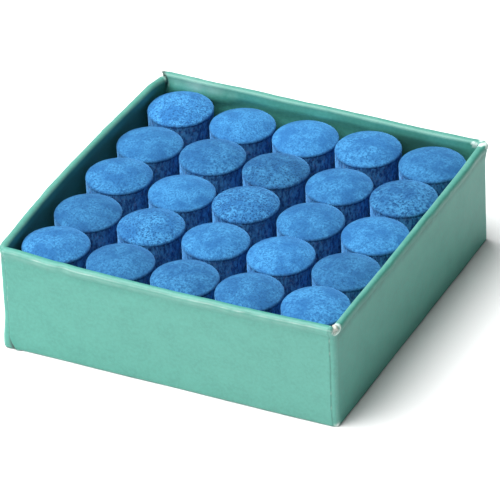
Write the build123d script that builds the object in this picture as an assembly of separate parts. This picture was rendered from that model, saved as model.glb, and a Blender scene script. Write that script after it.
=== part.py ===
from build123d import *
import os

# An open tray of glue-on billiard cue tips. The tray is the lower half of a small rigid carton: a folded
# chipboard blank whose corners are held by tape stays, covered with one sheet of paper that wraps the base
# and the walls, turns over the rim and runs down inside. Domed leather tips stand in it in a square grid,
# two layers deep.
#
# Millimetres, +Z up. The origin is the middle of the tray's underside, and the front wall faces -Y.
# Rows count from the front and columns from the left.

# Tray, outside, over the covering paper
TRAY_SIDE = 53.2
TRAY_HEIGHT = 17.0
CORNER_RADIUS = 0.7
FOOT_RADIUS = 0.3
RIM_RADIUS = 0.4

# Sheet stock
BOARD = 0.6
PAPER = 0.12
STAY_TAPE = 0.1

# Folds and laps
INNER_CORNER_RADIUS = 0.3
CORNER_SLIT = 0.1
TURN_IN_END = 3.5
STAY_LEG = 8.0
STAY_FOOT_GAP = 1.0
STAY_RIM_GAP = 1.0

# Tips
TIP_DIAMETER = 10.0
TIP_HEIGHT = 7.8
TIP_CROWN = 1.0
TIP_EDGE_BEVEL = 0.2
TIP_BASE_BEVEL = 0.15
STACK_GAP = 0.05
COLUMN_PITCH = 10.3
ROW_PITCH = 10.12

# Pressed leather is uneven, so no two stacks are the same height. Front row first, left to right.
STACK_HEIGHT_SPREAD = [
    [0.2, -0.2, -0.4, -0.1, 0.2],
    [-0.3, -0.2, -0.1, 0.0, -0.1],
    [0.1, -0.4, 0.2, -0.2, -0.1],
    [-0.3, 0.0, 0.1, -0.2, 0.3],
    [0.1, -0.4, -0.2, 0.4, 0.2],
]

# The tips have a little play, so the stacks lean left or right of their places in the grid.
STACK_SIDE_PLAY = [
    [-0.1, 0.0, -0.05, -0.1, 0.0],
    [-0.1, -0.15, 0.0, 0.1, 0.1],
    [-0.1, -0.15, -0.05, 0.05, 0.05],
    [-0.1, -0.05, 0.0, -0.05, 0.0],
    [0.0, 0.0, 0.05, 0.0, 0.05],
]

BOARD_SIDE = TRAY_SIDE - 2 * PAPER
BOARD_TOP = TRAY_HEIGHT - PAPER
BOARD_CAVITY = BOARD_SIDE - 2 * BOARD
FLOOR = PAPER + BOARD
PAPER_CAVITY = BOARD_CAVITY - 2 * PAPER
WALL = BOARD + 2 * PAPER

CORNERS = {
    "front_left": (-1, -1),
    "front_right": (1, -1),
    "back_left": (-1, 1),
    "back_right": (1, 1),
}


def square_block(side, corner_radius, bottom, top):
    """A square block with rounded upright edges, centred on the Z axis."""
    return extrude(Pos(0, 0, bottom) * RectangleRounded(side, side, corner_radius), amount=top - bottom)


def open_tray(side, corner_radius, bottom, top, foot_radius, cavity, rim_radius):
    """A block hollowed from above by the cavity, with a rounded foot and a rounded rim."""
    block = square_block(side, corner_radius, bottom, top)
    block = fillet(block.edges().group_by(Axis.Z)[0], foot_radius)
    tray = block - cavity
    return fillet(tray.edges().group_by(Axis.Z)[-1], rim_radius)


def board_body():
    """The chipboard tray before the corner slits and the stay recesses are cut."""
    cavity = square_block(BOARD_CAVITY, INNER_CORNER_RADIUS, FLOOR, TRAY_HEIGHT)
    foot_radius = FOOT_RADIUS - PAPER
    rim_radius = RIM_RADIUS - PAPER
    return open_tray(BOARD_SIDE, CORNER_RADIUS - PAPER, PAPER, BOARD_TOP, foot_radius, cavity, rim_radius)


def stay_band():
    """The thin band around the board's walls that the four stays are cut from."""
    bottom = PAPER + STAY_FOOT_GAP
    top = BOARD_TOP - STAY_RIM_GAP
    outer_radius = CORNER_RADIUS - PAPER
    outside = square_block(BOARD_SIDE, outer_radius, bottom, top)
    inside = square_block(BOARD_SIDE - 2 * STAY_TAPE, outer_radius - STAY_TAPE, bottom, top)
    return outside - inside


def corner_stays():
    """One bent strip of tape around each upright corner of the board, let into its face."""
    band = stay_band()
    reach = BOARD_SIDE / 2 - STAY_LEG / 2
    corner_zone = Box(STAY_LEG, STAY_LEG, 2 * TRAY_HEIGHT)
    stays = {}
    for name, (x, y) in CORNERS.items():
        stays[f"corner_stay_{name}"] = band & (Pos(x * reach, y * reach, 0) * corner_zone)
    return stays


def stay_recesses():
    """The room that the stays take up in the board's faces."""
    return Compound(children=list(corner_stays().values()))


def corner_slits():
    """The cuts that part neighbouring walls of the folded blank, one across each upright corner."""
    length = 4 * WALL
    height = TRAY_HEIGHT - FLOOR
    slit = Box(length, CORNER_SLIT, height, align=(Align.CENTER, Align.CENTER, Align.MIN))
    middle = BOARD_SIDE / 2 - BOARD / 2
    return [Pos(x * middle, y * middle, FLOOR) * Rot(0, 0, 45 * x * y) * slit for x, y in CORNERS.values()]


def board_blank():
    """The folded chipboard tray: a floor and four walls, slit at the corners and recessed for the stays."""
    board = board_body() - stay_recesses()
    for slit in corner_slits():
        board -= slit
    return board


def wrap_sheet():
    """The covering paper: under the base, up the walls, over the rim and down inside as a turn-in."""
    lined = square_block(PAPER_CAVITY, INNER_CORNER_RADIUS - PAPER, TURN_IN_END, TRAY_HEIGHT)
    bare = square_block(BOARD_CAVITY, INNER_CORNER_RADIUS, FLOOR, TURN_IN_END)
    cover = open_tray(TRAY_SIDE, CORNER_RADIUS, 0, TRAY_HEIGHT, FOOT_RADIUS, lined, RIM_RADIUS)
    return cover - bare - board_body()


def tip(height):
    """A leather tip standing on the origin: flat base, upright side, bevelled edges and a domed crown."""
    radius = TIP_DIAMETER / 2
    shoulder = height - TIP_CROWN
    crown_reach = radius - TIP_EDGE_BEVEL
    crown_radius = (crown_reach**2 + TIP_CROWN**2) / (2 * TIP_CROWN)
    outline = Polyline(
        (0, height),
        (0, 0),
        (radius - TIP_BASE_BEVEL, 0),
        (radius, TIP_BASE_BEVEL),
        (radius, shoulder - TIP_EDGE_BEVEL),
        (crown_reach, shoulder),
    )
    crown = RadiusArc((0, height), (crown_reach, shoulder), crown_radius)
    profile = Plane.XZ * make_face([outline, crown])
    return revolve(profile, Axis.Z)


def tips():
    """Both layers of tips, each upper tip standing over a lower one."""
    made = {}
    for row, (spreads, plays) in enumerate(zip(STACK_HEIGHT_SPREAD, STACK_SIDE_PLAY)):
        for column, (spread, play) in enumerate(zip(spreads, plays)):
            height = TIP_HEIGHT + spread / 2
            x = (column - 2) * COLUMN_PITCH + play
            y = (row - 2) * ROW_PITCH
            place = f"r{row + 1}_c{column + 1}"
            made[f"lower_tip_{place}"] = Pos(x, y, FLOOR) * tip(height)
            made[f"upper_tip_{place}"] = Pos(x, y, FLOOR + height + STACK_GAP) * tip(height)
    return made


def main():
    os.makedirs("parts", exist_ok=True)
    nodes = {"board_blank": board_blank(), "wrap_sheet": wrap_sheet()}
    nodes.update(corner_stays())
    nodes.update(tips())
    for name, shape in nodes.items():
        export_step(shape, f"parts/{name}.step")


main()
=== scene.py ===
import math
from collections import namedtuple

import bpy
import numpy as np
from mathutils import Matrix, Vector


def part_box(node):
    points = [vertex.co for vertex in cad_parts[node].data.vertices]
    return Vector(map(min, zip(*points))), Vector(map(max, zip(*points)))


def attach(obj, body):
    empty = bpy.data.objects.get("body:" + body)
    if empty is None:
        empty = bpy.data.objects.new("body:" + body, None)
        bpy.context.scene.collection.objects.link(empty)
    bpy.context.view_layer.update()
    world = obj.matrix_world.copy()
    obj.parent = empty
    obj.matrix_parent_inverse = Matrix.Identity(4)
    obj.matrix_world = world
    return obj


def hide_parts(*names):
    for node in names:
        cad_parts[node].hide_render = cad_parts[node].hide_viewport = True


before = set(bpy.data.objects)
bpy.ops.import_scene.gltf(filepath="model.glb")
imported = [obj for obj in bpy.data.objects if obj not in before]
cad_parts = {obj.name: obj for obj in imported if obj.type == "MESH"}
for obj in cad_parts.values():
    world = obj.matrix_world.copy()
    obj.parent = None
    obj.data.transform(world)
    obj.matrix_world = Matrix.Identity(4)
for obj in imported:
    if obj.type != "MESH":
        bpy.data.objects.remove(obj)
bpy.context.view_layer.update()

# A paper-covered chipboard tray full of leather cue tips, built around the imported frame.
# Lengths are in metres, and MM turns millimetres into metres.
MM = 0.001

# The tray's outside and its board, from the frame
TRAY_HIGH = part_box("wrap_sheet")[1]
HALF_SIDE = TRAY_HIGH.x
RIM_TOP = TRAY_HIGH.z
PAPER = HALF_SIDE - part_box("board_blank")[1].x
STAY_LOW, STAY_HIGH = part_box("corner_stay_front_right")
STAY_LEG = STAY_HIGH.x - STAY_LOW.x

# Sheet stock and folds
BOARD = 0.6 * MM
BOARD_SET_BACK = 0.08 * MM
WALL = BOARD + 2 * PAPER
STAY_TAPE = 0.1 * MM
CORNER_RADIUS = 0.7 * MM
SMALLEST_RADIUS = 0.15 * MM
FOOT_RADIUS = 0.3 * MM
TURN_IN_END = 3.5 * MM

# The covering paper's bead over the rim. Its inner edge stays clear of the tips, so it is plumper outwards.
BEAD_RADIUS = 0.6 * MM
BEAD_SPREAD = 0.035 * MM
BEAD_SQUARENESS = 0.88
BEAD_INNER = {"front": 0.98 * MM, "right": 0.88 * MM, "back": 0.98 * MM, "left": 0.88 * MM}
BEAD_INNER_AT_CORNERS = 0.92 * MM
BEAD_FLANK = 1.9

# The crease under the bead outside. Inside, the bead's swell dies away over a length down the wall, and
# below it the turned-in paper bulges into the tray. The back wall has two folds: (place along it, reach).
CREASE_DEPTH = {"front": 0.08 * MM, "right": 0.02 * MM, "back": 0.04 * MM, "left": 0.04 * MM}
CREASE_DROP = 1.55 * MM
CREASE_WIDTH = 0.6 * MM
BULGE = {"front": 0.12 * MM, "right": 0.02 * MM, "back": 0.25 * MM, "left": 0.02 * MM}
SWELL_LENGTH = {"front": 0.7 * MM, "right": 0.7 * MM, "back": 1.9 * MM, "left": 0.7 * MM}
BULGE_DROP = 1.5 * MM
BULGE_END = 3.6 * MM
BACK_FOLDS = ((11.8 * MM, 4.5 * MM), (-4.9 * MM, 5.0 * MM))

# The front and back panels' paper ends short of each corner, over the side walls' flaps
SEAM = HALF_SIDE - 0.98 * MM
SEAM_STEP = 0.1 * MM

# How the walls bow at the rim, outwards: (most, skew of the bow's middle along the wall)
BOW = {
    "front": (0.55 * MM, 0.35),
    "right": (0.15 * MM, 0.0),
    "back": (0.25 * MM, 0.0),
    "left": (1.0 * MM, 0.4),
}

# Each side's directions in plan, going round against the clock seen from above
SIDES = ("front", "right", "back", "left")
ALONG = {"front": (1, 0), "right": (0, 1), "back": (-1, 0), "left": (0, -1)}
OUTWARD = {"front": (0, -1), "right": (1, 0), "back": (0, 1), "left": (-1, 0)}
CORNER_AFTER = {
    "front": "front_right",
    "right": "back_right",
    "back": "back_left",
    "left": "front_left",
}

# Camera
CAMERA_AZIMUTH = math.radians(26.87)
CAMERA_ELEVATION = math.radians(33.16)
CAMERA_ROLL = math.radians(-2.38)
CAMERA_DISTANCE = 788.4 * MM
CAMERA_RIGHT = 0.03 * MM
CAMERA_UP = 6.19 * MM
LENS_MM = 386.0
SENSOR_MM = 36.0

# Lights: name, place, size and power in watts. The white world around them is faint.
LIGHTS = (
    ("key", (-0.225, -0.17, 0.55), 0.7, 9.3),
    ("back", (-0.4, 0.25, 0.4), 0.5, 1.5),
)
WORLD_STRENGTH = 0.11
FLOOR_REACH = 3.0
FLOOR_CELLS = 24

# The noise repeats after this many cells
NOISE_SIZE = 48

# The colour sockets of a Mix node
MIX_SHARE, MIX_FIRST, MIX_SECOND, MIX_RESULT = 0, 6, 7, 2

Columns = namedtuple("Columns", "side along outward facing place turn to_corner corner distance")


# ---------------------------------------------------------------- noise and mesh helpers


def smoothstep(x):
    """Eases from 0 to 1 as x goes from 0 to 1, and stays there outside."""
    x = np.clip(x, 0.0, 1.0)
    return x * x * (3 - 2 * x)


def hump(x, middle, width):
    """A smooth hump of height 1 at the middle that is gone a width away."""
    return smoothstep(1 - np.abs(x - middle) / width)


def value_noise(points, cell, seed):
    """Smooth noise from -1 to 1 at each point, on a lattice with that cell size."""
    table = np.random.default_rng(seed).uniform(-1, 1, (NOISE_SIZE,) * 3)
    scaled = np.asarray(points) / cell
    base = np.floor(scaled).astype(int)
    part = scaled - base
    part = part * part * (3 - 2 * part)
    total = np.zeros(scaled.shape[:-1])
    for corner in np.ndindex(2, 2, 2):
        weight = np.ones(scaled.shape[:-1])
        for axis in range(3):
            share = part[..., axis]
            weight = weight * (share if corner[axis] else 1 - share)
        index = [(base[..., axis] + corner[axis]) % NOISE_SIZE for axis in range(3)]
        total += weight * table[index[0], index[1], index[2]]
    return total


def line_noise(x, cell, seed):
    """Smooth noise from -1 to 1 along one coordinate."""
    x = np.asarray(x, float)
    return value_noise(np.stack([x, np.zeros_like(x), np.zeros_like(x)], axis=-1), cell, seed)


def mesh_object(name, points, faces):
    """A new smooth-shaded object in the scene from points and faces."""
    mesh = bpy.data.meshes.new(name)
    mesh.from_pydata(np.asarray(points, float).tolist(), [], faces)
    mesh.update()
    mesh.polygons.foreach_set("use_smooth", [True] * len(mesh.polygons))
    obj = bpy.data.objects.new(name, mesh)
    bpy.context.scene.collection.objects.link(obj)
    return obj


def paint(obj, name, values):
    """Stores one number per vertex, for the material to read."""
    attribute = obj.data.attributes.new(name, "FLOAT", "POINT")
    attribute.data.foreach_set("value", np.asarray(values, np.float32).ravel())


def loft_faces(rows, columns, closed=True):
    """Quads between neighbouring rows of points, each row going round to its start where closed."""
    faces = []
    for row in range(rows - 1):
        here, above = row * columns, (row + 1) * columns
        for column in range(columns if closed else columns - 1):
            after = (column + 1) % columns
            faces.append((here + column, here + after, above + after, above + column))
    return faces


def fan_faces(first, columns, centre, upward):
    """Triangles from a closed row, counted against the clock, to a centre point."""
    faces = []
    for column in range(columns):
        a, b = first + column, first + (column + 1) % columns
        faces.append((a, b, centre) if upward else (b, a, centre))
    return faces


def thicken(obj, thickness):
    """Gives a sheet its thickness, on the side away from its normals."""
    solidify = obj.modifiers.new("thickness", "SOLIDIFY")
    solidify.thickness = thickness
    solidify.offset = -1


# ---------------------------------------------------------------- the tray's plan


def places_along(step, extra):
    """Places along a wall, closer together near its ends, with the extra ones among them."""
    reach = HALF_SIDE - CORNER_RADIUS
    share = np.linspace(-1, 1, int(round(2 * reach / step)) + 1)
    crowding = 0.3
    return np.sort(np.concatenate([reach * share * (1 + crowding * (1 - share**2)), extra]))


def tray_columns(step, corner_steps=8, with_seams=False):
    """The columns that go once around the tray, with where each is and what it is near."""
    around_seam = np.array([-0.3, -0.15, -0.05, 0.0, 0.05, 0.12, 0.2]) * MM
    seams = np.concatenate([SEAM + around_seam, -SEAM - around_seam])
    rows = []
    for side in SIDES:
        extra = seams if with_seams and side in ("front", "back") else np.array([])
        rows += [(side, place, 0.0) for place in places_along(step, extra)]
        rows += [(side, HALF_SIDE - CORNER_RADIUS, turn / corner_steps) for turn in range(1, corner_steps)]
    side = np.array([row[0] for row in rows])
    place = np.array([row[1] for row in rows])
    turn = np.array([row[2] for row in rows]) * math.pi / 2
    along = np.array([ALONG[s] for s in side], float)
    outward = np.array([OUTWARD[s] for s in side], float)
    facing = outward * np.cos(turn)[:, None] + along * np.sin(turn)[:, None]
    before = {s: CORNER_AFTER[SIDES[SIDES.index(s) - 1]] for s in SIDES}
    corner = np.array([CORNER_AFTER[s] if p > 0 else before[s] for s, p in zip(side, place)])
    arc = CORNER_RADIUS * (turn - math.pi / 4)
    straight = np.abs(place) - (HALF_SIDE - CORNER_RADIUS) - CORNER_RADIUS * math.pi / 4
    to_corner = np.where(turn > 0, arc, np.where(place > 0, straight, -straight))
    length = 2 * HALF_SIDE
    distance = np.array([SIDES.index(s) for s in side]) * length + place + turn * CORNER_RADIUS
    return Columns(side, along, outward, facing, place, turn, to_corner, corner, distance)


def plan_points(columns, offsets, places=None):
    """Where the columns are in plan, at those offsets outwards from the tray's outer face."""
    places = columns.place if places is None else places
    half = HALF_SIDE + offsets
    radius = np.maximum(CORNER_RADIUS + offsets, SMALLEST_RADIUS)
    reach = half - radius
    share = places / (HALF_SIDE - CORNER_RADIUS)
    straight = columns.along * (share * reach)[:, None] + columns.outward * half[:, None]
    arc = (columns.along + columns.outward) * reach[:, None] + columns.facing * radius[:, None]
    return np.where((columns.turn > 0)[:, None], arc, straight)


def bow_of(columns, heights):
    """How far each column's wall stands outwards at a height: not at all at the foot, most along the rim."""
    most = np.array([BOW[s][0] for s in columns.side])
    skew = np.array([BOW[s][1] for s in columns.side])
    share = columns.place / (HALF_SIDE - CORNER_RADIUS)
    shape = (1 - share**2) * (1 + skew * share)
    return np.where(columns.turn > 0, 0.0, most * shape * smoothstep(heights / RIM_TOP))


def set_up(columns, offsets, heights):
    """Points for one row: the columns at those offsets and heights, bowed."""
    plan = plan_points(columns, offsets) + columns.outward * bow_of(columns, heights)[:, None]
    return np.column_stack([plan, heights])


# ---------------------------------------------------------------- the covering paper


def by_side(columns, values, at_corners):
    """One value per column from its side's, easing to a shared one at the corners."""
    own = np.array([values[s] for s in columns.side])
    near = smoothstep(1 - np.abs(columns.to_corner) / (2 * MM))
    return own * (1 - near) + at_corners * near


def on_panel(columns):
    """True on the front and back walls, short of the rounded corners."""
    return np.isin(columns.side, ("front", "back")) & (columns.turn == 0)


def bead_radius(columns):
    """The radius of the bead over the rim: uneven, dented at the front, and pinched at the corners."""
    radius = BEAD_RADIUS + BEAD_SPREAD * line_noise(columns.distance, 2.6 * MM, 11)
    radius += 0.5 * BEAD_SPREAD * line_noise(columns.distance, 0.9 * MM, 12)
    front = columns.side == "front"
    radius -= np.where(front, 0.1 * MM * hump(columns.place, -16.2 * MM, 1.6 * MM), 0.0)
    radius -= np.where(front, 0.08 * MM * hump(columns.place, 13.4 * MM, 1.2 * MM), 0.0)
    return radius * (1 - 0.25 * hump(columns.to_corner, 0.0, 0.7 * MM))


def rim_height(columns):
    """The rim's height, which sags a little along the walls and rises or dips at the corners."""
    height = RIM_TOP - 0.06 * MM * (1 + line_noise(columns.distance, 7 * MM, 13))
    rises = {"front_left": 0.35, "front_right": 0.0, "back_right": 0.2, "back_left": 0.15}
    dips = {"front_left": 0.1, "front_right": 0.25, "back_right": 0.0, "back_left": 0.0}
    rise = np.array([rises[c] for c in columns.corner]) * MM
    near = hump(columns.to_corner, 0.0, 9 * MM)
    dip = np.array([dips[c] for c in columns.corner]) * MM
    left_end = (columns.corner == "back_left") & (columns.to_corner > 0)
    height += np.where(left_end, -0.5 * MM * hump(columns.to_corner, 0.6 * MM, 4 * MM), rise * near)
    return height - dip * hump(columns.to_corner, 0.0, 0.8 * MM)


def crest_depth(columns):
    """How far below the rim the turned-in paper stands off most: less far at the back wall's two folds."""
    folds = sum(hump(columns.place, middle, width) for middle, width in BACK_FOLDS)
    depth = BULGE_DROP * (1 + 0.3 * line_noise(columns.distance, 7 * MM, 15))
    return depth * np.where(columns.side == "back", 1.3 - 0.8 * folds, 1.0)


def turn_in_bulge(columns, drop):
    """How far the turned-in paper stands off the board at a depth below the rim."""
    most = by_side(columns, BULGE, 0.0) * (1 + 0.4 * line_noise(columns.distance, 5 * MM, 14))
    towards_left = np.where(columns.side == "back", columns.place / HALF_SIDE, 0.0)
    most = most * (1 + 0.6 * towards_left)
    crest = crest_depth(columns)
    depth = -drop
    return most * smoothstep(depth / crest) * smoothstep((BULGE_END - depth) / (BULGE_END - crest))


def paper_profile(columns):
    """The paper's rows, from the middle of the underside up, over the rim and down inside.

    Each row is (offsets, heights, share of the wall's own relief, drop below the rim).
    A drop is negative inside the rim.
    """
    count = len(columns.place)
    bead = bead_radius(columns)
    top = rim_height(columns)
    inner = by_side(columns, BEAD_INNER, BEAD_INNER_AT_CORNERS)
    rows = []
    for inset in (25.0, 19.0, 13.0, 8.0, 4.8, 2.8, 1.6, 0.9, 0.55):
        rows.append((np.full(count, -inset * MM), np.zeros(count), 0.0))
    for step in range(6):
        angle = step / 5 * math.pi / 2
        offset = -FOOT_RADIUS * (1 - math.sin(angle))
        rows.append((np.full(count, offset), np.full(count, FOOT_RADIUS * (1 - math.cos(angle))), step / 5))
    flank = BEAD_FLANK * bead
    shoulder = top - bead - flank
    for share in np.linspace(0, 1, 36)[1:]:
        rows.append((np.zeros(count), FOOT_RADIUS + (shoulder - FOOT_RADIUS) * share, 1.0))
    for share in np.linspace(0, 1, 8)[1:-1]:
        rows.append(((2 * bead - inner) * smoothstep(share), shoulder + flank * share, 1.0))
    for angle in np.linspace(0, math.pi, 21):
        across = math.copysign(abs(math.cos(angle)) ** BEAD_SQUARENESS, math.cos(angle))
        up = math.sin(angle) ** BEAD_SQUARENESS
        rows.append((bead - inner + bead * across, top - bead + bead * up, 1.0))
    lip = top - bead
    swell_length = by_side(columns, SWELL_LENGTH, 0.7 * MM)
    swell_length = swell_length * crest_depth(columns) / BULGE_DROP
    for share in np.linspace(0, 1, 24)[1:]:
        height = lip + (TURN_IN_END - lip) * share
        swell = (inner - WALL) * smoothstep(1 - (lip - height) / swell_length)
        rows.append((-WALL - swell - turn_in_bulge(columns, height - top), height, 1.0))
    drops = [np.where(o > bead - inner, top - h, h - top) for o, h, _ in rows]
    return [(o, h, share, drop) for (o, h, share), drop in zip(rows, drops)]


def seam_stray(columns, heights):
    """How far the panels' side edges stray from straight, towards the nearer corner."""
    end = np.where(columns.place > 0, 1, -1)
    wander = 0.07 * MM * line_noise(heights + end * 31 * MM, 3.2 * MM, 21)
    wander += 0.03 * MM * line_noise(heights + end * 31 * MM, 0.7 * MM, 22)
    front = columns.side == "front"
    lifted = -0.9 * MM * smoothstep(1 - heights / (2.6 * MM)) ** 1.5
    folded = 0.15 * MM * smoothstep(1 - heights / (3.2 * MM))
    return wander + np.where(front, np.where(end < 0, lifted, folded), 0.0)


def strayed_places(columns, heights):
    """The columns' places once those around a seam have followed it."""
    size = np.abs(columns.place)
    inside = smoothstep(1 - (SEAM - size) / (3 * MM))
    outside = 1 - (size - SEAM) / (HALF_SIDE - CORNER_RADIUS - SEAM)
    follow = np.where(size < SEAM, inside, np.clip(outside, 0, 1))
    stray = seam_stray(columns, heights) * follow * np.sign(columns.place)
    return np.where(on_panel(columns), columns.place + stray, columns.place)


def panel_relief(columns, heights):
    """The panels' own thickness over the flaps, more where the front left corner has come unstuck."""
    size = np.abs(columns.place)
    inside = smoothstep((SEAM + 0.025 * MM - size) / (0.05 * MM))
    unstuck = lifted_corner(columns, heights)
    lift = 0.16 * MM * unstuck * smoothstep(1 - (SEAM - size) / (1.6 * MM))
    return np.where(on_panel(columns), inside * (SEAM_STEP + lift), 0.0)


def lifted_corner(columns, heights):
    """1 along the foot of the front panel's left edge, where it has come unstuck, fading upwards."""
    there = (columns.side == "front") & (columns.place < 0)
    return np.where(there, smoothstep(1.15 - heights / (2.7 * MM)), 0.0)


def corner_flare(columns, heights, drop):
    """How far two corners stand out: the front left one's unstuck foot, and the back right one's top."""
    foot = 0.45 * MM * hump(columns.to_corner, -0.4 * MM, 2.2 * MM) * hump(heights, 1.0 * MM, 5 * MM)
    top = 0.35 * MM * hump(columns.to_corner, -0.3 * MM, 2.4 * MM) * hump(drop, 0.4 * MM, 3 * MM)
    return np.where(columns.corner == "front_left", foot, np.where(columns.corner == "back_right", top, 0.0))


def paper_relief(columns, points, drop):
    """Gentle hollows and fine unevenness of glued paper, and the crease under the bead."""
    broad = 0.06 * MM * value_noise(points, 9 * MM, 31)
    middle = 0.016 * MM * value_noise(points, 1.9 * MM, 32)
    fine = 0.005 * MM * value_noise(points, 0.6 * MM, 33)
    depth = by_side(columns, CREASE_DEPTH, 0.02 * MM) * (1 + 0.7 * line_noise(columns.distance, 4 * MM, 34))
    wander = 0.18 * MM * line_noise(columns.distance, 6 * MM, 35)
    crease = depth * hump(drop, CREASE_DROP + wander, CREASE_WIDTH)
    return broad + middle + fine - crease


def torn_share(columns, drop):
    """How far into the front right corner's torn patch a point is: 1 at its middle, 0 at its edge."""
    reach = np.where(columns.to_corner < 0, 0.4 * MM, 1.25 * MM)
    share = 1 - np.sqrt((columns.to_corner / reach) ** 2 + (drop / (1.05 * MM)) ** 2)
    return np.where(columns.corner == "front_right", share, -1.0)


def corner_relief(columns, drop):
    """The torn end of the right bead at the front, and the slit at the back left corner."""
    torn = torn_share(columns, drop)
    relief = 0.09 * MM * hump(torn, 0.1, 0.16) - 0.12 * MM * smoothstep((torn - 0.2) * 6)
    near_rim = smoothstep(2 - np.abs(drop) / (0.8 * MM))
    slit = 0.3 * MM * hump(columns.to_corner, 0.15 * MM, 0.4 * MM) * near_rim
    return relief - np.where(columns.corner == "back_left", slit, 0.0)


def loose_flap(columns, drop):
    """How far the back bead's end sticks out to the left, past the corner."""
    flap = 0.5 * MM * hump(columns.to_corner, -0.2 * MM, 0.5 * MM) * hump(drop, 0.15 * MM, 0.7 * MM)
    return np.where((columns.corner == "back_left") & (columns.side == "back"), flap, 0.0)


def shoulder_wear_and_highlight(columns, points, drop):
    """The beads' pale shoulders, along the front outside and on the others inside: partly rubbed by
    handling, partly a painted highlight.
    """
    uneven = 0.8 + 0.5 * value_noise(points, 1.2 * MM, 44)
    # The front bead's outer shoulder and the band below it, and the other beads' inner shoulder, carry a
    # painted highlight as well as rubbing.
    outer = 0.3 * hump(drop, 0.3 * MM, 0.18 * MM) + 0.12 * hump(drop, 0.75 * MM, 0.6 * MM)
    inner = 0.08 * hump(drop, -0.25 * MM, 0.4 * MM)
    return np.where(columns.side == "front", outer, inner) * uneven


def back_right_wear(columns, points, drop):
    """The broken pale patches to both sides of the back right corner's rim."""
    patch = value_noise(points, 0.7 * MM, 42)
    fleck = value_noise(points, 0.35 * MM, 43)
    on_right = hump(columns.to_corner, -0.7 * MM, 1.1 * MM) * smoothstep((0.9 * MM - drop) / (0.25 * MM))
    on_back = hump(columns.to_corner, 0.7 * MM, 1.1 * MM) * smoothstep((0.1 * MM - drop) / (0.1 * MM))
    near = np.maximum(on_right, on_back) * smoothstep((drop + 1.1 * MM) / (0.5 * MM))
    broken = smoothstep(2.5 * (near + 0.8 * patch + 0.7 * fleck - 0.45)) * smoothstep(4 * near)
    return np.where(columns.corner == "back_right", 0.65 * broken, 0.0)


def back_left_cut_and_highlight(columns, points, drop):
    """The cut edge of the paper at the back left corner, and a painted highlight on the back wall's inner
    face beside it.
    """
    uneven = 0.8 + 0.5 * value_noise(points, 1.2 * MM, 44)
    cut = 0.4 * hump(columns.to_corner, 0.65 * MM, 0.2 * MM) * smoothstep(2 - np.abs(drop) / (0.6 * MM))
    # Painted highlight: a pale stretch on the back wall's inner face near the back left corner.
    painted_back_highlight = 0.24 * hump(columns.to_corner, -6.5 * MM, 8.5 * MM) * hump(drop, -0.8 * MM, 1.3 * MM) * uneven
    painted_back_highlight = np.where(columns.side == "back", painted_back_highlight, 0.0)
    return np.where(columns.corner == "back_left", np.maximum(cut, painted_back_highlight), 0.0)


def foot_line(heights, drop):
    """1 along the foot of the walls outside, fading just above it."""
    return smoothstep(1.6 - heights / (0.2 * MM)) * (drop > 0)


def edge_wear(columns, drop, heights, fleck):
    """Where the paper's edges are rubbed: around the tear, up the corners, along the seams and the foot."""
    around_tear = hump(torn_share(columns, drop), 0.13, 0.2)
    around_tear = around_tear * np.where(columns.to_corner > 0.15 * MM, 1.0, 0.7)
    corner_edge = hump(columns.to_corner, 0.0, 0.3 * MM) * smoothstep(0.5 + 1.0 * fleck)
    corner_edge = corner_edge * np.where(columns.corner == "back_right", 0.4, 0.1)
    seam_edge = hump(np.abs(columns.place), SEAM + 0.02 * MM, 0.1 * MM) * smoothstep(1.6 * fleck - 0.2)
    seam_edge = np.where(on_panel(columns), 0.35 * seam_edge, 0.0)
    scuffed = hump(columns.to_corner, 0.0, 1.0 * MM) * smoothstep(1.5 - heights / (0.6 * MM))
    scuffed = np.where(columns.corner == "front_right", scuffed * smoothstep(0.9 + fleck), 0.0)
    foot = foot_line(heights, drop) * (0.18 + 0.12 * fleck)
    return np.maximum.reduce([around_tear, corner_edge, seam_edge, scuffed, foot])


def paper_wear_and_painted_light(columns, points, drop, heights, fleck):
    """How pale the paper is: its white core where rubbed at edges and corners, painted highlights on the
    beads' shoulders and beside the back left corner, and painted light over the front face, a little more
    towards its right.
    """
    # Painted light: the front face is set a little paler all over, more towards its right.
    painted_front_light = np.where(columns.side == "front", 0.03 + 0.014 * columns.place / HALF_SIDE, 0.0) * (drop > 0)
    shoulders = shoulder_wear_and_highlight(columns, points, drop)
    back_right = back_right_wear(columns, points, drop)
    back_left = back_left_cut_and_highlight(columns, points, drop)
    edges = edge_wear(columns, drop, heights, fleck)
    return np.maximum.reduce([shoulders, back_right, back_left, edges, painted_front_light])


def inside_shade(columns, drop):
    """Painted shade inside the tray: on the left wall, and on the back wall's right half."""
    inside = smoothstep((-drop - 0.7 * MM) / (1.2 * MM))
    right_half = hump(columns.to_corner, 11 * MM, 14 * MM) * (columns.corner == "back_right")
    back = np.where(columns.side == "back", 0.65 * right_half, 0.0)
    return inside * np.where(columns.side == "left", 0.35, back)


def crevice_shade(columns, drop, heights):
    """Painted shade in the gaps: along the seams and the foot, at the unstuck corner, in the back left slit,
    and at the corners of the rim.
    """
    size = np.abs(columns.place)
    gap = hump(size, SEAM + 0.08 * MM, 0.2 * MM) * lifted_corner(columns, heights)
    groove = 0.22 * hump(size, SEAM + 0.08 * MM, 0.12 * MM)
    seam = np.where(on_panel(columns), np.maximum(gap, groove), 0.25 * foot_line(heights, drop))
    slit = hump(columns.to_corner, -0.2 * MM, 0.8 * MM) * smoothstep(2.6 - np.abs(drop) / (0.8 * MM))
    slit = slit * np.where(columns.corner == "back_left", 1.0, 0.0)
    pinch = 0.3 * hump(columns.to_corner, 0.0, 0.25 * MM) * smoothstep(1.2 - np.abs(drop) / (0.9 * MM))
    return np.maximum.reduce([seam, slit, pinch])


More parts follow.
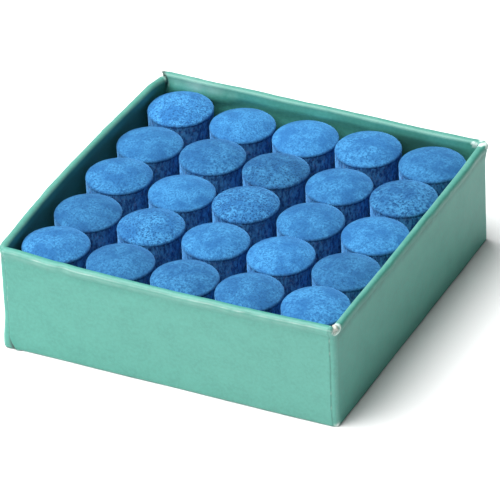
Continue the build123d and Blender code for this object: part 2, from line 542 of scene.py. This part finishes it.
def paper_shade(columns, drop, heights, fleck):
    """Painted shade on the paper: in its crevices, over and under the bead, on the right face outside and
    inside the tray.
    """
    front = columns.side == "front"
    # Painted shade under the bead, over the rim and over the right face.
    flank = hump(drop, 1.3 * MM, 1.9 * MM) * (0.85 + 0.3 * fleck) * np.where(front, 0.06, 0.42)
    over_rim = hump(drop, 0.0, 1.1 * MM) * np.where(front, 0.16, 0.24)
    right_face = np.where(columns.side == "right", 0.08, 0.0) * (drop > 0)
    crevices = crevice_shade(columns, drop, heights)
    return np.maximum.reduce([crevices, flank, inside_shade(columns, drop), over_rim, right_face])


def paper_marks(columns, points, drop, heights):
    """How pale the paper is from wear and painted light, where bare board shows, and its painted shade."""
    fleck = value_noise(points, 0.45 * MM, 41)
    wear_and_painted_light = paper_wear_and_painted_light(columns, points, drop, heights, fleck)
    bare = smoothstep((torn_share(columns, drop) - 0.22 + 0.12 * fleck) * 8) * (0.8 + 0.3 * fleck)
    return wear_and_painted_light, np.clip(bare, 0, 1), paper_shade(columns, drop, heights, fleck) * (1 - wear_and_painted_light)


def wrap_paper():
    """The covering paper as one sheet: underside, walls, beaded rim and turn-in."""
    columns = tray_columns(0.5 * MM, with_seams=True)
    rows = paper_profile(columns)
    points, marks = [], []
    for offsets, heights, share, drop in rows:
        plan = plan_points(columns, offsets, strayed_places(columns, heights))
        flat = np.column_stack([plan, heights])
        outside = drop >= 0
        relief = paper_relief(columns, flat, drop) * np.where(outside, 1.0, -0.3)
        relief += corner_relief(columns, drop)
        relief += (panel_relief(columns, heights) + corner_flare(columns, heights, drop)) * outside
        outwards = share * (bow_of(columns, heights) + relief)
        plan = plan + columns.facing * outwards[:, None] + columns.along * loose_flap(columns, drop)[:, None]
        points.append(np.column_stack([plan, heights]))
        marks.append(paper_marks(columns, flat, drop, heights))
    count = len(columns.place)
    last = len(rows) * count
    faces = loft_faces(len(rows), count) + fan_faces(0, count, last, False)
    obj = mesh_object("wrap_paper", np.concatenate([*points, [[0, 0, 0]]]), faces)
    # The first mark is wear with painted highlights and painted light, and the third is painted shade.
    for index, name in enumerate(("wear_and_painted_light", "bare", "shade")):
        paint(obj, name, np.append(np.concatenate([m[index] for m in marks]), 0.0))
    thicken(obj, 0.8 * PAPER)
    return obj


# ---------------------------------------------------------------- the board and its corner stays


def board_tray():
    """The chipboard tray under the paper, bowed as its covering is and set back behind the corner stays."""
    columns = tray_columns(1.0 * MM)
    count = len(columns.place)
    floor = PAPER + BOARD
    outer = -PAPER - BOARD_SET_BACK
    radius = (BOARD - BOARD_SET_BACK) / 2
    rows = [(-20 * MM, PAPER), (-10 * MM, PAPER), (-1.0 * MM, PAPER), (-0.5 * MM, PAPER + 0.05 * MM)]
    rows += [(outer, height) for height in np.linspace(PAPER + 0.4 * MM, RIM_TOP - 1.3 * MM, 34)]
    for angle in np.linspace(0, math.pi, 9):
        offset = outer - radius + radius * math.cos(angle)
        rows.append((offset, RIM_TOP - 1.1 * MM + radius * math.sin(angle)))
    rows += [(-WALL + PAPER, height) for height in np.linspace(RIM_TOP - 1.3 * MM, floor, 34)]
    rows += [(-4 * MM, floor), (-12 * MM, floor), (-20 * MM, floor)]
    near_corner = np.abs(columns.to_corner) < STAY_LEG
    points = []
    for offset, height in rows:
        under_stay = near_corner & (STAY_LOW.z < height < STAY_HIGH.z) & (offset > -WALL / 2)
        offsets = np.where(under_stay, offset - STAY_TAPE, offset)
        points.append(set_up(columns, offsets, np.full(count, height)))
    last = len(rows) * count
    faces = loft_faces(len(rows), count)
    faces += fan_faces(0, count, last, False) + fan_faces(last - count, count, last + 1, True)
    return mesh_object("chipboard_tray", np.concatenate([*points, [[0, 0, PAPER], [0, 0, floor]]]), faces)


def corner_stay(corner):
    """A strip of tape folded round the outside of one corner of the board, under the paper."""
    columns = tray_columns(0.5 * MM)
    picked = np.flatnonzero((columns.corner == corner) & (np.abs(columns.to_corner) < STAY_LEG))
    picked = picked[np.argsort(columns.to_corner[picked], kind="stable")]
    columns = Columns(*(np.asarray(part)[picked] for part in columns))
    heights = np.linspace(STAY_LOW.z, STAY_HIGH.z, 30)
    count = len(picked)
    offsets = np.full(count, -PAPER - 0.9 * BOARD_SET_BACK)
    points = [set_up(columns, offsets, np.full(count, height)) for height in heights]
    faces = loft_faces(len(heights), count, closed=False)
    obj = mesh_object("stay_tape_" + corner, np.concatenate(points), faces)
    thicken(obj, 0.7 * STAY_TAPE)
    return obj


# ---------------------------------------------------------------- the tips

TIP_SEGMENTS = 160
TIP_RISE = 1.05 * MM
TIP_POWER = 2.5
TIP_EDGE_INSET = 0.22 * MM
TIP_UNDERCUT = 0.03 * MM
TIP_FOOT = 0.15 * MM
LOWER_TIP_MARGIN = 0.07 * MM

# How pale (above 0) or dark (below 0) each upper tip's dye is, front row first, left to right
TONE = (
    (0.2, -0.6, -0.5, -0.35, 0.25),
    (-0.6, 0.2, 0.2, 0.55, -0.75),
    (0.05, 0.2, 0.1, -0.1, 0.25),
    (-0.15, -0.4, -0.85, 0.0, -0.5),
    (1.0, 0.45, 0.65, 0.3, -0.35),
)

# How coarse each upper tip's nap is, from 0, smooth, to 1
COARSENESS = (
    (0.35, 0.3, 0.5, 0.3, 0.5),
    (0.3, 0.7, 0.4, 0.3, 0.35),
    (0.3, 0.1, 0.8, 0.3, 0.3),
    (0.1, 0.5, 0.6, 0.3, 1.0),
    (0.4, 0.05, 0.2, 0.5, 0.3),
)

# How deep the pits and cracks are in the tips that have marked ones
PITTED = {
    "upper_tip_r5_c1": 0.6,
    "upper_tip_r3_c3": 0.8,
    "upper_tip_r4_c3": 0.7,
    "upper_tip_r2_c2": 0.6,
}
CRACKED = {"upper_tip_r5_c1": 0.7, "upper_tip_r3_c3": 0.6, "upper_tip_r4_c5": 0.4}


def tip_profile(radius, height):
    """Rows of (radius, height, share that is cut side, painted shade), from near the crown's middle to the
    base.

    The crown falls away faster towards its edge, which rounds over into the upright side with no break in
    slope. Right under the edge a faint groove parts the crown from the side, and painted shade darkens the
    rounded edge, the groove and the top of the side.
    """
    reach = radius - TIP_EDGE_INSET
    slope = math.atan(TIP_POWER * TIP_RISE / reach)
    edge = TIP_EDGE_INSET / (1 - math.sin(slope))
    rows = []
    for share in np.linspace(0.03, 1.0, 34):
        rows.append((share * reach, height - TIP_RISE * share**TIP_POWER, 0.0, 0.0))
    shoulder = height - TIP_RISE
    for angle in np.linspace(slope, math.pi / 2, 9)[1:]:
        r = radius - edge * (1 - math.sin(angle))
        turned = (angle - slope) / (math.pi / 2 - slope)
        rows.append((r, shoulder - edge * (math.cos(slope) - math.cos(angle)), 0.4 * turned, 0.3 * turned))
    widest = shoulder - edge * math.cos(slope)
    for z in (0.06, 0.12, 0.18, 0.25, 0.35):
        depth = hump(z, 0.15, 0.16)
        r = radius - (0.4 + 0.9 * depth) * TIP_UNDERCUT
        rows.append((r, widest - z * MM, 0.6 + z, 0.3 + 0.6 * depth))
    for share in np.linspace(0, 1, 26)[1:]:
        z = widest - 0.35 * MM + share * (TIP_FOOT - widest + 0.35 * MM)
        rows.append((radius - TIP_UNDERCUT, z, 1.0, 0.3 * (1 - smoothstep(share * 6))))
    rows.append((radius - TIP_UNDERCUT - TIP_FOOT, 0.0, 1.0, 0.0))
    rows.append((radius * 0.6, 0.0, 1.0, 0.0))
    return rows


def tip_lumps(points, angle, side, coarse, seed):
    """How far each point of a tip stands out: nap on the crown, and rough short fibres on the cut side."""
    nap = 0.03 * MM * value_noise(points, 1.7 * MM, seed + 1)
    nap += (0.01 + 0.022 * coarse) * MM * value_noise(points, 0.4 * MM, seed + 2)
    around = np.stack([np.cos(angle), np.sin(angle), points[:, 2] / (10 * MM)], axis=-1)
    fibres = 0.02 * MM * value_noise(around, 0.09, seed + 3)
    fibres += 0.03 * MM * value_noise(points, 0.5 * MM, seed + 4)
    return nap * (1 - side) + (fibres - 0.02 * MM) * side


def tip_traits(node, rng):
    """A tip's tone, coarseness, pitting and cracks. The hidden lower ones draw theirs at random."""
    if not node.startswith("upper"):
        tone = rng.uniform(-0.4, 0.4)
        return {"tone": tone, "coarse": rng.uniform(0.1, 0.4), "pitted": 0.2, "cracked": 0.0}
    row, column = (int(part[1:]) - 1 for part in node.split("_")[2:])
    return {
        "tone": TONE[row][column],
        "coarse": COARSENESS[row][column],
        "pitted": PITTED.get(node, rng.uniform(0.15, 0.4)),
        "cracked": CRACKED.get(node, 0.0),
    }


def leather_tip(node, number):
    """One leather tip, uneven as a pressed and cut disc is, built in its CAD node's box."""
    low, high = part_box(node)
    middle = (low + high) / 2
    rng = np.random.default_rng(500 + number)
    seed = 1000 + 10 * number
    traits = tip_traits(node, rng)
    is_upper = node.startswith("upper")
    height = high.z - low.z - (0 if is_upper else LOWER_TIP_MARGIN)
    rows = tip_profile((high.x - low.x) / 2, height)
    angles = np.linspace(0, 2 * math.pi, TIP_SEGMENTS, endpoint=False)
    angle = np.tile(angles, len(rows))
    radius = np.repeat([row[0] for row in rows], TIP_SEGMENTS)
    z = np.repeat([row[1] for row in rows], TIP_SEGMENTS)
    side = np.repeat([row[2] for row in rows], TIP_SEGMENTS)
    dark = np.repeat([row[3] for row in rows], TIP_SEGMENTS)
    points = np.column_stack([radius * np.cos(angle), radius * np.sin(angle), z])
    lumps = tip_lumps(points, angle, side, traits["coarse"], seed)
    lean = rng.uniform(-1, 1, 2) * 0.02
    raised = smoothstep(z / height * 2.5 - 1.5) * is_upper
    tilt = (points[:, :2] @ lean) * raised
    off_base = z > 0
    points[:, 0] += np.cos(angle) * lumps * side * off_base
    points[:, 1] += np.sin(angle) * lumps * side * off_base
    points[:, 2] += lumps * (1 - side) * off_base + tilt
    ends = [[0, 0, points[:TIP_SEGMENTS, 2].mean()], [0, 0, 0]]
    points = np.concatenate([points, ends]) + np.array([middle.x, middle.y, low.z])
    last = len(rows) * TIP_SEGMENTS
    faces = [tuple(reversed(face)) for face in loft_faces(len(rows), TIP_SEGMENTS)]
    faces += fan_faces(0, TIP_SEGMENTS, last, True)
    faces += fan_faces(last - TIP_SEGMENTS, TIP_SEGMENTS, last + 1, False)
    tip = mesh_object(node.replace("_tip_", "_leather_"), points, faces)
    paint(tip, "cut_side", np.append(side, [0, 1]))
    # Painted shade along the crown's rounded edge and the groove under it.
    paint(tip, "painted_groove_shade", np.append(dark, [0, 0]))
    for name, value in traits.items():
        paint(tip, name, np.full(len(points), value))
    return tip


# ---------------------------------------------------------------- materials


def new_material(name):
    """A new material, with its nodes, links and shader."""
    material = bpy.data.materials.new(name)
    material.use_nodes = True
    tree = material.node_tree
    return material, tree.nodes, tree.links, tree.nodes["Principled BSDF"]


def object_place(nodes):
    """Coordinates in metres in the piece's own space."""
    return nodes.new("ShaderNodeTexCoord").outputs["Object"]


def noise_node(nodes, links, place, scale, detail=2.0, roughness=0.5):
    """Cloudy noise from 0 to 1."""
    node = nodes.new("ShaderNodeTexNoise")
    node.inputs["Scale"].default_value = scale
    node.inputs["Detail"].default_value = detail
    node.inputs["Roughness"].default_value = roughness
    links.new(place, node.inputs["Vector"])
    return node.outputs["Fac"]


def voronoi_node(nodes, links, place, scale):
    """Distance to the nearest of the points strewn about."""
    node = nodes.new("ShaderNodeTexVoronoi")
    node.inputs["Scale"].default_value = scale
    links.new(place, node.inputs["Vector"])
    return node.outputs["Distance"]


def stretched(nodes, links, place, scale):
    """Coordinates scaled by a different amount along each axis."""
    node = nodes.new("ShaderNodeMapping")
    node.inputs["Scale"].default_value = scale
    links.new(place, node.inputs["Vector"])
    return node.outputs["Vector"]


def ranged(nodes, links, value, low, high, to_low=0.0, to_high=1.0):
    """A value from one range carried over to another, and held at its ends."""
    node = nodes.new("ShaderNodeMapRange")
    for socket, number in (("From Min", low), ("From Max", high), ("To Min", to_low), ("To Max", to_high)):
        node.inputs[socket].default_value = number
    links.new(value, node.inputs["Value"])
    return node.outputs["Result"]


def times(nodes, links, first, second):
    """The product of two values."""
    node = nodes.new("ShaderNodeMath")
    node.operation = "MULTIPLY"
    links.new(first, node.inputs[0])
    links.new(second, node.inputs[1])
    return node.outputs["Value"]


def mixed(nodes, links, share, first, second):
    """Mixes two colours, each a linear RGB tuple or another node's output."""
    node = nodes.new("ShaderNodeMix")
    node.data_type = "RGBA"
    links.new(share, node.inputs[MIX_SHARE])
    for socket, value in ((node.inputs[MIX_FIRST], first), (node.inputs[MIX_SECOND], second)):
        if isinstance(value, tuple):
            socket.default_value = (*value, 1.0)
        else:
            links.new(value, socket)
    return node.outputs[MIX_RESULT]


def scaled(nodes, links, colour, factor):
    """A colour made paler or darker by a factor, keeping the contrast of its marks."""
    node = nodes.new("ShaderNodeVectorMath")
    node.operation = "SCALE"
    links.new(colour, node.inputs[0])
    links.new(factor, node.inputs["Scale"])
    return node.outputs["Vector"]


def bumped(nodes, links, height, strength, distance, before=None):
    """Normals bumped by a height, on top of an earlier bump if there is one."""
    node = nodes.new("ShaderNodeBump")
    node.inputs["Strength"].default_value = strength
    node.inputs["Distance"].default_value = distance
    links.new(height, node.inputs["Height"])
    if before is not None:
        links.new(before, node.inputs["Normal"])
    return node.outputs["Normal"]


def attribute(nodes, name):
    """A number painted on the mesh."""
    node = nodes.new("ShaderNodeAttribute")
    node.attribute_name = name
    return node.outputs["Fac"]


def paper_material():
    """Green coated paper: a fine embossed grain, cloudy dye, a white core where rubbed, painted highlights
    and painted light, and painted shade in crevices, around the bead and inside.
    """
    material, nodes, links, shader = new_material("covering_paper")
    place = object_place(nodes)
    cloud = noise_node(nodes, links, place, 260.0, 4.0, 0.6)
    grain = noise_node(nodes, links, place, 1900.0, 3.0, 0.7)
    clouded = ranged(nodes, links, cloud, 0.35, 0.65)
    green = mixed(nodes, links, clouded, (0.05, 0.277, 0.219), (0.062, 0.309, 0.247))
    fibres = ranged(nodes, links, grain, 0.38, 0.66, 0.0, 0.42)
    green = mixed(nodes, links, fibres, green, (0.095, 0.395, 0.32))
    bare = mixed(nodes, links, ranged(nodes, links, grain, 0.4, 0.6), (0.22, 0.19, 0.16), (0.6, 0.56, 0.5))
    # Painted shade: the shade mark darkens the green.
    colour = mixed(nodes, links, attribute(nodes, "shade"), green, (0.004, 0.03, 0.025))
    colour = mixed(nodes, links, attribute(nodes, "bare"), colour, bare)
    # White core of wear, with painted highlights and painted light on the beads and the front face.
    colour = mixed(nodes, links, attribute(nodes, "wear_and_painted_light"), colour, (0.74, 0.82, 0.78))
    links.new(colour, shader.inputs["Base Color"])
    links.new(ranged(nodes, links, grain, 0.3, 0.7, 0.46, 0.6), shader.inputs["Roughness"])
    shader.inputs["Specular IOR Level"].default_value = 0.55
    emboss = bumped(nodes, links, voronoi_node(nodes, links, place, 2100.0), 0.25, 0.03 * MM)
    links.new(bumped(nodes, links, grain, 0.3, 0.04 * MM, emboss), shader.inputs["Normal"])
    return material


def board_material():
    """Grey-brown recycled chipboard with darker flecks."""
    material, nodes, links, shader = new_material("chipboard")
    place = object_place(nodes)
    cloud = noise_node(nodes, links, place, 400.0, 4.0, 0.6)
    fleck = noise_node(nodes, links, place, 2600.0, 1.0, 0.5)
    clouded = ranged(nodes, links, cloud, 0.3, 0.7)
    brown = mixed(nodes, links, clouded, (0.26, 0.22, 0.17), (0.36, 0.31, 0.25))
    flecked = mixed(nodes, links, ranged(nodes, links, fleck, 0.62, 0.75), brown, (0.09, 0.08, 0.07))
    links.new(flecked, shader.inputs["Base Color"])
    links.new(ranged(nodes, links, cloud, 0.3, 0.7, 0.88, 0.98), shader.inputs["Roughness"])
    shader.inputs["Specular IOR Level"].default_value = 0.2
    links.new(bumped(nodes, links, fleck, 0.4, 0.05 * MM), shader.inputs["Normal"])
    return material


def tape_material():
    """Brown gummed tape with a faint lengthwise grain."""
    material, nodes, links, shader = new_material("stay_tape")
    fibres = noise_node(nodes, links, object_place(nodes), 1500.0, 4.0, 0.7)
    base = mixed(nodes, links, ranged(nodes, links, fibres, 0.3, 0.7), (0.3, 0.19, 0.1), (0.42, 0.28, 0.16))
    links.new(base, shader.inputs["Base Color"])
    links.new(ranged(nodes, links, fibres, 0.3, 0.7, 0.7, 0.85), shader.inputs["Roughness"])
    links.new(bumped(nodes, links, fibres, 0.3, 0.03 * MM), shader.inputs["Normal"])
    return material


def crown_colour(nodes, links, place):
    """The napped crown's blue: fine dark specks on a paler ground, cloudy dye, and dark pits and cracks."""
    fine = noise_node(nodes, links, place, 4200.0, 3.0, 0.8)
    rough = noise_node(nodes, links, place, 2300.0, 3.0, 0.75)
    cloud = noise_node(nodes, links, place, 330.0, 3.0, 0.6)
    fine_specks = ranged(nodes, links, fine, 0.32, 0.6)
    rough_specks = ranged(nodes, links, rough, 0.4, 0.55)
    smooth = mixed(nodes, links, fine_specks, (0.0094, 0.07, 0.2), (0.046, 0.218, 0.45))
    coarse = mixed(nodes, links, rough_specks, (0.0075, 0.05, 0.15), (0.058, 0.252, 0.49))
    coarseness = ranged(nodes, links, attribute(nodes, "coarse"), 0.0, 1.0, 0.1, 0.9)
    blue = mixed(nodes, links, coarseness, smooth, coarse)
    clouded = ranged(nodes, links, cloud, 0.4, 0.62, 0.0, 0.75)
    blue = mixed(nodes, links, clouded, blue, (0.015, 0.09, 0.245))
    pits = ranged(nodes, links, voronoi_node(nodes, links, place, 2900.0), 0.24, 0.42, 1.0, 0.0)
    pits = times(nodes, links, pits, attribute(nodes, "pitted"))
    blue = mixed(nodes, links, pits, blue, (0.006, 0.03, 0.1))
    cracks = times(nodes, links, cracked_share(nodes, links, place), attribute(nodes, "cracked"))
    return mixed(nodes, links, cracks, blue, (0.008, 0.045, 0.14))


def cracked_share(nodes, links, place):
    """1 along the thin winding lines where a cloudy noise crosses its middle."""
    vein = noise_node(nodes, links, place, 700.0, 2.0, 0.6)
    low_side = ranged(nodes, links, vein, 0.478, 0.5)
    high_side = ranged(nodes, links, vein, 0.522, 0.5)
    return times(nodes, links, low_side, high_side)


def side_colour(nodes, links, place):
    """The cut side's blue: mottled with undyed and dark fibres."""
    upright = stretched(nodes, links, place, (1.0, 1.0, 0.4))
    fibres = ranged(nodes, links, noise_node(nodes, links, upright, 2600.0, 3.0, 0.7), 0.4, 0.58)
    strands = noise_node(nodes, links, place, 1500.0, 2.0, 0.6)
    blue = mixed(nodes, links, fibres, (0.0165, 0.081, 0.25), (0.07, 0.285, 0.6))
    return mixed(nodes, links, ranged(nodes, links, strands, 0.56, 0.68, 0.0, 0.5), blue, (0.15, 0.26, 0.5))


def leather_material():
    """Blue-dyed leather: a napped crown and darker, fibrous cut sides, with painted shade along the groove
    where they meet.
    """
    material, nodes, links, shader = new_material("tip_leather")
    place = object_place(nodes)
    nap = noise_node(nodes, links, place, 3000.0, 3.0, 0.7)
    toned = ranged(nodes, links, attribute(nodes, "tone"), -1.0, 1.0, 0.75, 1.38)
    crown = scaled(nodes, links, crown_colour(nodes, links, place), toned)
    colour = mixed(nodes, links, attribute(nodes, "cut_side"), crown, side_colour(nodes, links, place))
    # Painted shade along the crown's edge and the groove under it, broken by the nap.
    broken = ranged(nodes, links, nap, 0.38, 0.58, 0.1, 1.0)
    line = times(nodes, links, broken, attribute(nodes, "painted_groove_shade"))
    colour = mixed(nodes, links, line, colour, (0.003, 0.018, 0.07))
    links.new(colour, shader.inputs["Base Color"])
    links.new(ranged(nodes, links, nap, 0.3, 0.7, 0.85, 1.0), shader.inputs["Roughness"])
    shader.inputs["Specular IOR Level"].default_value = 0.12
    shader.inputs["Sheen Weight"].default_value = 1.0
    shader.inputs["Sheen Roughness"].default_value = 0.35
    shader.inputs["Sheen Tint"].default_value = (0.16, 0.5, 1.0, 1.0)
    links.new(bumped(nodes, links, nap, 0.6, 0.1 * MM), shader.inputs["Normal"])
    return material


def floor_material():
    """A white studio floor."""
    material, nodes, links, shader = new_material("studio_floor")
    grain = noise_node(nodes, links, object_place(nodes), 30.0)
    white = mixed(nodes, links, grain, (0.9, 0.9, 0.9), (0.91, 0.91, 0.91))
    links.new(white, shader.inputs["Base Color"])
    shader.inputs["Roughness"].default_value = 0.9
    shader.inputs["Specular IOR Level"].default_value = 0.1
    return material


# ---------------------------------------------------------------- studio


def place_camera():
    """The camera, turned around the tray, raised, rolled, and moved in its own plane."""
    flat = math.cos(CAMERA_ELEVATION)
    sine, cosine = math.sin(CAMERA_AZIMUTH), math.cos(CAMERA_AZIMUTH)
    back = Vector((sine * flat, -cosine * flat, math.sin(CAMERA_ELEVATION)))
    level = Vector((cosine, sine, 0.0))
    upright = back.cross(level)
    right = level * math.cos(CAMERA_ROLL) + upright * math.sin(CAMERA_ROLL)
    up = upright * math.cos(CAMERA_ROLL) - level * math.sin(CAMERA_ROLL)
    data = bpy.data.cameras.new("camera")
    data.lens = LENS_MM
    data.sensor_width = SENSOR_MM
    data.clip_start = 0.01
    data.clip_end = 10.0
    camera = bpy.data.objects.new("camera", data)
    bpy.context.scene.collection.objects.link(camera)
    place = right * CAMERA_RIGHT + up * CAMERA_UP + back * CAMERA_DISTANCE
    camera.matrix_world = Matrix.Translation(place) @ Matrix((right, up, back)).transposed().to_4x4()
    bpy.context.scene.camera = camera


def softbox(name, place, size, power):
    """A round soft light at a place, aimed at the tray."""
    data = bpy.data.lights.new(name, "AREA")
    data.shape = "DISK"
    data.size = size
    data.energy = power
    light = bpy.data.objects.new(name, data)
    bpy.context.scene.collection.objects.link(light)
    light.location = place
    aim = Vector((0, 0, RIM_TOP / 2)) - Vector(place)
    light.rotation_euler = aim.to_track_quat("-Z", "Y").to_euler()


def studio():
    """White surroundings, a large soft light at the front left, a fainter one behind, and a white floor."""
    world = bpy.data.worlds.new("studio")
    world.use_nodes = True
    background = world.node_tree.nodes["Background"]
    background.inputs["Color"].default_value = (1, 1, 1, 1)
    background.inputs["Strength"].default_value = WORLD_STRENGTH
    bpy.context.scene.world = world
    bpy.context.scene.view_settings.view_transform = "Standard"
    for name, place, size, power in LIGHTS:
        softbox(name, place, size, power)
    steps = np.linspace(-FLOOR_REACH, FLOOR_REACH, FLOOR_CELLS + 1)
    points = [(x, y, 0.0) for y in steps for x in steps]
    floor = mesh_object("studio_floor", points, loft_faces(len(steps), len(steps), closed=False))
    floor.data.materials.append(floor_material())


# ---------------------------------------------------------------- assembly


def add_piece(piece, material, body, node):
    """Gives a piece its material, ties it to the body it rides on, and hides the CAD node it stands for."""
    piece.data.materials.append(material)
    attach(piece, body)
    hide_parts(node)


place_camera()
studio()

add_piece(wrap_paper(), paper_material(), "tray", "wrap_sheet")
add_piece(board_tray(), board_material(), "tray", "board_blank")
tape = tape_material()
for corner in CORNER_AFTER.values():
    add_piece(corner_stay(corner), tape, "tray", "corner_stay_" + corner)

leather = leather_material()
tips = sorted(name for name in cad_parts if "_tip_" in name)
for number, node in enumerate(tips):
    add_piece(leather_tip(node, number), leather, node, node)
